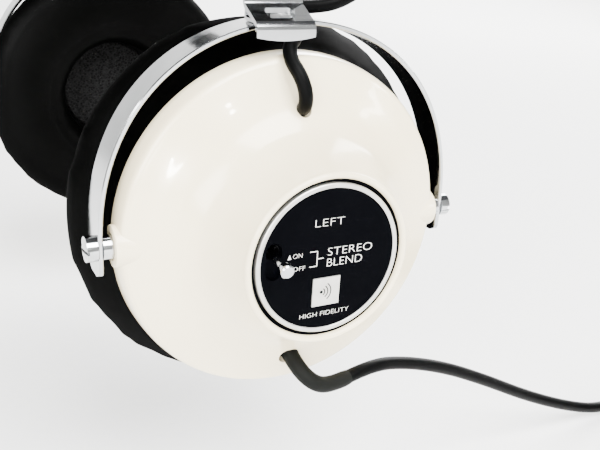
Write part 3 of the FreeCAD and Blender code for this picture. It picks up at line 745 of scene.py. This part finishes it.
def yokes():
    """A bent chrome strip with eased edges and rounded feet."""
    line = yoke_line()
    inner, outer = YOKE_EDGE, YOKE_THICK - YOKE_EDGE
    for name, side in SIDES:
        verts = []
        for i, (y, z) in enumerate(line):
            ahead, behind = line[min(i + 1, len(line) - 1)], line[max(i - 1, 0)]
            ty, tz = ahead[0] - behind[0], ahead[1] - behind[1]
            length = math.hypot(ty, tz)
            ny, nz = -tz / length, ty / length
            short = max(0.0, 1.0 - (z - YOKE_FOOT_Z) / FOOT_ROUND)
            inset = FOOT_ROUND * (1 - math.sqrt(max(1 - short * short, 0.0)))
            u0, u1 = YOKE_WIDE[0] + inset, YOKE_WIDE[1] - inset
            section = ((u0, inner), (u0 + YOKE_EDGE, 0), (u1 - YOKE_EDGE, 0), (u1, inner),
                       (u1, outer), (u1 - YOKE_EDGE, YOKE_THICK), (u0 + YOKE_EDGE, YOKE_THICK), (u0, outer))
            for u, out in section:
                verts.append(cup_point(u, y + ny * out, z + nz * out, side))
        corners = len(section)
        faces = ring_faces(len(line), corners, False)
        faces.append(tuple(range(corners)))
        faces.append(tuple(reversed(range((len(line) - 1) * corners, len(line) * corners))))
        strip = mesh_object(name + "_yoke_strip", verts, faces, sharp=30)
        paint(strip, "chrome_steel")
        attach(strip, name + "_yoke")
        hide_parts(name + "_yoke")


def shells():
    """Each cup's moulded outside, with its holes, bosses, label card with its black liner of painted shade in the
    recess, and silver ring.
    """
    for name, side in SIDES:
        shell = shell_mesh(name + "_shell_moulding", side)
        holes = [LINK_HOLE]
        if side == LEFT:
            holes += [SWITCH_WINDOW, *RELIEF_HOLES]
        for hole in holes:
            shell = drilled(shell, hole, side)
        for polygon in shell.data.polygons:
            polygon.use_smooth = True
        shell.data.set_sharp_from_angle(angle=math.radians(48))
        paint(shell, "cream_shell")
        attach(shell, name + "_cup")
        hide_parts(name + "_shell")
        bosses = pivot_bosses(name + "_pivot_bosses", side)
        paint(bosses, "cream_shell")
        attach(bosses, name + "_cup")
        label_card_and_shade_liner(name, side)
        silver_ring(name, side)


# ---- Label marks ----
PLATE_FACE = 27.3
EMBLEM_FACE = 27.7
INK = 0.03                          # how far the ink stands off its face
BAR = 0.2
EMBLEM_PLACE = (-0.33, -8.84)
SIGN_SHIFT = -1.4                   # centres the dot and its arcs on the emblem
DOT_R = 0.45
ARC_RADII = (1.0, 1.9, 2.8)
ARC_BAR = 0.3


def text_shape(words, height, width, weight):
    """The words as a flat mesh, centred, height and width in mm. A negative weight thins the strokes."""
    curve = bpy.data.curves.new("words", "FONT")
    curve.body = words
    curve.align_x = "CENTER"
    curve.align_y = "CENTER"
    curve.offset = weight
    curve.resolution_u = 6
    carrier = bpy.data.objects.new("words", curve)
    bpy.context.scene.collection.objects.link(carrier)
    bpy.context.view_layer.update()
    mesh = bpy.data.meshes.new_from_object(carrier)
    bpy.data.objects.remove(carrier)
    xs = [v.co.x for v in mesh.vertices]
    ys = [v.co.y for v in mesh.vertices]
    spread_x, spread_y = max(xs) - min(xs), max(ys) - min(ys)
    middle_x, middle_y = (max(xs) + min(xs)) / 2, (max(ys) + min(ys)) / 2
    points = [((v.co.x - middle_x) / spread_x * width, (v.co.y - middle_y) / spread_y * height)
              for v in mesh.vertices]
    faces = [tuple(p.vertices) for p in mesh.polygons]
    bpy.data.meshes.remove(mesh)
    return points, faces


def bar_shape(points, thick):
    """A line of even thickness through points, as flat quads."""
    corners = []
    faces = []
    for a, b in zip(points, points[1:]):
        ax, ay, bx, by = *a, *b
        length = math.hypot(bx - ax, by - ay)
        dx, dy = (bx - ax) / length * thick / 2, (by - ay) / length * thick / 2
        start = len(corners)
        corners += [(ax - dx - dy, ay - dy + dx), (ax - dx + dy, ay - dy - dx),
                    (bx + dx + dy, by + dy - dx), (bx + dx - dy, by + dy + dx)]
        faces.append((start, start + 1, start + 2, start + 3))
    return corners, faces


def print_marks(name, side, face, shapes):
    """Flat ink shapes on a face that looks outward. Each shape is (points, faces, y, z)."""
    verts, faces = [], []
    for points, quads, y, z in shapes:
        start = len(verts)
        for px, py in points:
            verts.append(cup_point(face + INK, side * px + y, py + z, side))
        faces += [tuple(start + i for i in quad) for quad in quads]
    return mesh_object(name, verts, faces, smooth=False)


def label_marks():
    """Printed function words, and the switch's arrow and bracket. Each is placed by its middle's y and z."""
    arrow = ([(-0.5, -0.6), (0.5, -0.6), (0.0, 0.65)], [(0, 1, 2)])
    bracket = bar_shape([(-5.4, 2.7), (-3.4, 2.7), (-3.4, -1.4), (-5.4, -1.4)], BAR)
    spur = bar_shape([(-3.4, 0.6), (-1.6, 0.6)], BAR)
    left = [
        (*text_shape("LEFT", 1.9, 8.4, -0.026), -0.3, 10.3),
        (*arrow, -11.3, 2.1),
        (*text_shape("ON", 1.2, 2.6, -0.024), -9.0, 2.2),
        (*text_shape("OFF", 1.2, 3.6, -0.024), -8.5, -1.4),
        (*bracket, 0, 0),
        (*spur, 0, 0),
        (*text_shape("STEREO", 2.1, 13.2, -0.022), 6.2, 2.1),
        (*text_shape("BLEND", 2.1, 10.4, -0.022), 4.8, -0.9),
        (*text_shape("HIGH FIDELITY", 1.25, 14.6, -0.022), -0.2, -15.3),
    ]
    right = [
        (*text_shape("RIGHT", 1.9, 10.2, -0.026), 0, 10.3),
        (*text_shape("HIGH FIDELITY", 1.25, 14.6, -0.022), -0.2, -15.3),
    ]
    for (name, side), shapes in zip(SIDES, (left, right)):
        marks = print_marks(name + "_label_print", side, PLATE_FACE, shapes)
        paint(marks, "label_black", "print_ink")
        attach(marks, name + "_cup")


def arc_points(radius, degrees):
    """Points at the given angles on a circle about the sign's own centre."""
    return [(radius * math.cos(math.radians(a)) + SIGN_SHIFT, radius * math.sin(math.radians(a)))
            for a in degrees]


def emblem_marks():
    """A plain sound-wave sign on the emblem: a dot and three arcs."""
    for name, side in SIDES:
        shapes = []
        for radius in ARC_RADII:
            shapes.append((*bar_shape(arc_points(radius, range(-50, 51, 10)), ARC_BAR), *EMBLEM_PLACE))
        dot = arc_points(DOT_R, range(0, 360, 20))
        shapes.append((dot, [tuple(range(len(dot)))], *EMBLEM_PLACE))
        marks = print_marks(name + "_emblem_print", side, EMBLEM_FACE, shapes)
        paint(marks, "emblem_silver", "black_plastic")
        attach(marks, name + "_cup")


# ---- Soft parts ----
CLOTH_FRAMES = 20
PRESSURE = 3.0


def inflated(obj, voxel, cap):
    """Cloth simulation: the closed form swells like a stuffed cover, and no point moves past cap."""
    modifier = obj.modifiers.new("remesh", "REMESH")
    modifier.mode = "VOXEL"
    modifier.voxel_size = voxel
    obj = applied(obj)
    rest = [v.co.copy() for v in obj.data.vertices]
    cloth = obj.modifiers.new("cloth", "CLOTH")
    settings = cloth.settings
    settings.quality = 6
    settings.mass = 0.25
    settings.use_pressure = True
    settings.uniform_pressure_force = PRESSURE
    settings.tension_stiffness = 12
    settings.compression_stiffness = 12
    settings.bending_stiffness = 0.8
    settings.effector_weights.gravity = 0.0
    cloth.point_cache.frame_start = 1
    cloth.point_cache.frame_end = CLOTH_FRAMES
    scene = bpy.context.scene
    for number in range(1, CLOTH_FRAMES + 1):
        scene.frame_set(number)
    obj = applied(obj)
    scene.frame_set(1)
    for vert, start in zip(obj.data.vertices, rest):
        move = vert.co - start
        if move.length > cap:
            vert.co = start + move * (cap / move.length)
    return obj


def subdivided(obj):
    modifier = obj.modifiers.new("smooth", "SUBSURF")
    modifier.levels = 1
    modifier.render_levels = 1
    obj = applied(obj)
    for polygon in obj.data.polygons:
        polygon.use_smooth = True
    return obj


CUSHION_PROFILE = [(-3.4, 25.5), (-3.4, 36), (-3.4, 46.0), (-4.2, 47.4), (-7.0, 48.9), (-10, 51.2),
                   (-13.0, 53.8), (-16.5, 55.9), (-20.5, 55.8), (-24.2, 52.8), (-26.2, 46.6), (-26.6, 39),
                   (-25.4, 31), (-22, 25.6), (-17, 23.2), (-9, 22.9), (-4.5, 23.6)]
CUSHION_COLUMNS = 120
CUSHION_DIP = 1.8                   # how far the hanger presses the outside in
DIP_SPREAD = 0.33                   # half width of that dip, in radians
CUSHION_DRIFT = (-0.9, 1.5)         # how far the layers away from the shell sit off centre, in y and z
OUTSIDE_R = 40                      # a cushion's points past this radius are on its outer side


def bell(value, centre, spread):
    """1 at the centre, and smoothly down to nothing on both sides."""
    return math.exp(-((value - centre) / spread) ** 2)


def ear_cushions():
    """Stuffed leathercloth rings, fuller on the side away from the shell."""
    profile = smooth_line(CUSHION_PROFILE + CUSHION_PROFILE[:1], 3)[:-1]
    for name, side in SIDES:
        verts = []
        for u, r in profile:
            for k in range(CUSHION_COLUMNS):
                angle = 2 * math.pi * k / CUSHION_COLUMNS
                full = max(r - 50.0, 0.0) / 7.0
                radius = r - CUSHION_DIP * bell(angle, math.pi / 2, DIP_SPREAD) * full
                drift = min(max(-u - 9.0, 0.0) / 8.0, 1.0) if r > OUTSIDE_R else 0.0
                verts.append(cup_point(u, radius * math.cos(angle) + CUSHION_DRIFT[0] * drift,
                                       radius * math.sin(angle) + CUSHION_DRIFT[1] * drift, side))
        ring = mesh_object(name + "_ear_cushion", verts, ring_faces(len(profile), CUSHION_COLUMNS, True))
        ring = inflated(ring, voxel=0.0042, cap=0.0012)
        ring = subdivided(ring)
        gather(ring, side)
        paint(ring, "cushion_vinyl")
        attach(ring, name + "_cup")
        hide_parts(name + "_cushion")


def gather(ring, side):
    """Pulls in the seams of a cushion, with the small puckers that a sewn cover has."""
    for vert in ring.data.vertices:
        u = (side * vert.co.x - CUP.x) / MM
        y, z = (vert.co.y - CUP.y) / MM, (vert.co.z - CUP.z) / MM
        r = math.hypot(y, z)
        angle = math.atan2(z, y)
        outside = r > OUTSIDE_R
        pucker = noise.noise(Vector((math.cos(angle) * 9, math.sin(angle) * 9, side * 3.0)))
        fine = noise.noise(Vector((math.cos(angle) * 26, math.sin(angle) * 26, 5.0 + u * 0.05)))
        outer_seam = bell(u, -7.2, 1.0) if outside else 0.0
        inner_seam = bell(u, -25.0, 1.6) * bell(r, 28.0, 2.5)
        near = bell(u, -11.0, 5.0) if outside else bell(r, 30.0, 6.0)
        pull = -0.75 * outer_seam + near * (0.28 * pucker + 0.16 * fine)
        scale = (r + pull) / r
        vert.co.y = CUP.y + y * scale * MM
        vert.co.z = CUP.z + z * scale * MM
        vert.co.x += side * 0.9 * inner_seam * MM
    ring.data.update()


PAD_WIDTH = 34.0
PAD_CORE = 4.0                      # from the cover's top down to the middle of its section
PAD_ABOVE = 3.6
PAD_BELOW = 7.2
PAD_ROWS = 97
PAD_COLUMNS = 44
PAD_END_ANGLE = 49                  # degrees from the top of the pad's arc to where its ends are widest
SEAM_Y = 12.4
STITCH_PITCH = 3.2
STITCH_R = 0.26
STITCH_SIDES = 6
STITCH_MARGIN = 0.05                # radians of cover past the first and last stitch
STITCH_SPAN = (0.12, 0.3, 0.5, 0.7, 0.88)


def rounded(value, power):
    """A sine or cosine made fuller, with its sign kept, so that a round section turns boxy."""
    return math.copysign(abs(value) ** power, value)


def headband_pad():
    """A stitched cover over foam, wrapped round the band."""
    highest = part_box("headband_pad")[1]
    half_span = highest[0]
    outer_r = half_span / math.sin(math.radians(PAD_END_ANGLE))
    centre_z = highest[2] - outer_r
    core_r = outer_r - PAD_CORE * MM
    half_angle = math.asin(min(half_span / outer_r, 1.0)) - 0.012
    verts = []
    for i in range(PAD_ROWS):
        along = -half_angle + 2 * half_angle * i / (PAD_ROWS - 1)
        end = min(i, PAD_ROWS - 1 - i) / 5.0
        fullness = 1.0 if end >= 1 else 0.55 + 0.45 * math.sin(end * math.pi / 2)
        for k in range(PAD_COLUMNS):
            turn = 2 * math.pi * k / PAD_COLUMNS
            y = rounded(math.cos(turn), 0.45) * (PAD_WIDTH / 2 - 0.8) * MM
            swell = rounded(math.sin(turn), 0.75)
            r = core_r + swell * (PAD_ABOVE if swell > 0 else PAD_BELOW) * MM * fullness
            verts.append(Vector((r * math.sin(along), y, centre_z + r * math.cos(along))))
    faces = ring_faces(PAD_ROWS, PAD_COLUMNS, False)
    faces.append(tuple(range(PAD_COLUMNS)))
    faces.append(tuple(reversed(range((PAD_ROWS - 1) * PAD_COLUMNS, PAD_ROWS * PAD_COLUMNS))))
    pad = mesh_object("headband_pad_cover", verts, faces)
    pad = inflated(pad, voxel=0.0045, cap=0.0008)
    pad = subdivided(pad)
    crease_pad(pad, centre_z, core_r)
    paint(pad, "pad_vinyl")
    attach(pad, "headband")
    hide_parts("headband_pad")
    pad_stitches(centre_z, core_r + 3.3 * MM, half_angle)


def crease_pad(pad, centre_z, core_r):
    """Sewn edges along both sides of the cover, and soft puckers beside them."""
    for vert in pad.data.vertices:
        y = vert.co.y / MM
        away = Vector((vert.co.x, 0, vert.co.z - centre_z))
        angle = math.atan2(away.x, away.z)
        on_top = away.length > core_r
        seam = bell(abs(y), SEAM_Y, 0.7) if on_top else 0.0
        pucker = noise.noise(Vector((angle * 34, y * 0.12, 2.0)))
        move = (-0.7 * seam + 0.22 * bell(abs(y), 11.5, 3.0) * pucker) * MM
        vert.co += away.normalized() * move * (1 if on_top else -1)
    pad.data.update()


def pad_stitches(centre_z, radius, half_angle):
    """Two rows of stitches along the top of the cover."""
    verts, faces = [], []
    across = Vector((0, 1, 0))
    pitch = STITCH_PITCH * MM / radius
    count = int(2 * (half_angle - STITCH_MARGIN) / pitch)
    first, last = STITCH_SPAN[0], STITCH_SPAN[-1]
    for y in (-SEAM_Y * MM, SEAM_Y * MM):
        for i in range(count):
            start = -half_angle + STITCH_MARGIN + pitch * i
            base = len(verts)
            for t in STITCH_SPAN:
                angle = start + pitch * t
                lift = (0.30 * math.sin(math.pi * (t - first) / (last - first)) - 0.62) * MM
                out = Vector((math.sin(angle), 0, math.cos(angle)))
                centre = Vector((0, y, centre_z)) + out * (radius + lift)
                for k in range(STITCH_SIDES):
                    turn = 2 * math.pi * k / STITCH_SIDES
                    verts.append(centre + (out * math.cos(turn) + across * math.sin(turn)) * STITCH_R * MM)
            rings = ring_faces(len(STITCH_SPAN), STITCH_SIDES, False)
            end = base + (len(STITCH_SPAN) - 1) * STITCH_SIDES
            faces += [tuple(base + corner for corner in face) for face in rings]
            faces.append(tuple(range(base, base + STITCH_SIDES)))
            faces.append(tuple(range(end, end + STITCH_SIDES)))
    stitches = mesh_object("headband_pad_stitches", verts, faces)
    paint(stitches, "pad_vinyl", "thread")
    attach(stitches, "headband")


# ---- Studio ----
FLOOR_GAP = 0.0002                  # all the studio's own sizes are in metres
SWEEP_HALF_WIDTH = 3.0
SWEEP_PROFILE = [(-2.0, 0.0), (1.3, 0.0), (1.55, 0.05), (1.75, 0.2), (1.85, 0.45), (1.88, 3.0)]
BOWL_GAP = 0.004
BOWL_PROFILE = [(0.0, 0.0), (3.2, 0.0), (3.7, 0.06), (4.0, 0.25), (4.15, 0.6), (4.2, 4.0)]
BOWL_COLUMNS = 96


def floor_paper():
    """Matt white paper."""
    m = Nodes("floor_paper")
    grain = m.noise(300, 4)
    m.set(
        Base_Color=m.ramp(grain, (0.86, 0.86, 0.85), (0.88, 0.88, 0.87)),
        Roughness=0.8,
        Specular_IOR_Level=0.1,
    )
    return m.material


def floor():
    """A plain pale floor that curves up behind, and a wide pale bowl outside it for the other sides."""
    paper = floor_paper()
    verts = []
    for x in (-SWEEP_HALF_WIDTH, SWEEP_HALF_WIDTH):
        for away, up in SWEEP_PROFILE:
            verts.append(Vector((x, away, FLOOR_Z - FLOOR_GAP + up)))
    count = len(SWEEP_PROFILE)
    faces = [(i, i + 1, count + i + 1, count + i) for i in range(count - 1)]
    sweep = mesh_object("floor", verts, faces)
    sweep.data.materials.append(paper)
    view_side = bpy.context.scene.camera.location
    sweep.rotation_euler = (0, 0, math.atan2(-view_side.x, view_side.y) + math.pi)
    verts = []
    for r, up in BOWL_PROFILE:
        for k in range(BOWL_COLUMNS):
            angle = 2 * math.pi * k / BOWL_COLUMNS
            verts.append(Vector((r * math.cos(angle), r * math.sin(angle), FLOOR_Z - BOWL_GAP + up)))
    surround = mesh_object("surround", verts, ring_faces(len(BOWL_PROFILE), BOWL_COLUMNS, False))
    surround.data.materials.append(paper)


def light(name, direction, distance, width, height, watts):
    """A soft box that shines on the left cup from a direction."""
    lamp = bpy.data.lights.new(name, "AREA")
    lamp.shape = "RECTANGLE"
    lamp.size = width
    lamp.size_y = height
    lamp.energy = watts
    place = bpy.data.objects.new(name, lamp)
    bpy.context.scene.collection.objects.link(place)
    place.location = CUP + Vector(direction).normalized() * distance
    place.rotation_euler = (CUP - place.location).to_track_quat("-Z", "Y").to_euler()


def studio():
    """Plain soft light, with one narrow and two small boxes for the glints on the shell."""
    world = bpy.data.worlds.new("studio")
    bpy.context.scene.world = world
    world.use_nodes = True
    background = world.node_tree.nodes["Background"]
    background.inputs["Color"].default_value = (0.97, 0.98, 1.0, 1)
    background.inputs["Strength"].default_value = 0.16
    light("key", (0.96, -0.27, 0.05), 1.0, 0.03, 0.12, 5.0)
    light("front", (0.75, -0.9, 0.45), 1.5, 0.8, 0.8, 44.0)
    light("top", (0.75, 0.1, 1.0), 1.4, 0.9, 0.9, 86.0)
    light("window", (0.94, 0.05, 0.36), 1.1, 0.03, 0.03, 1.6)
    light("side", (0.56, 0.81, 0.19), 1.2, 0.06, 0.25, 4.0)
    light("back", (-0.8, 1.0, 0.7), 1.9, 1.6, 1.0, 130.0)


# ---- The whole scene ----
camera()
paint_frame()
relief = strain_relief()
cord = main_cord()
link_cords()
shells()
yokes()
label_marks()
emblem_marks()
ear_cushions()
headband_pad()
floor()
studio()
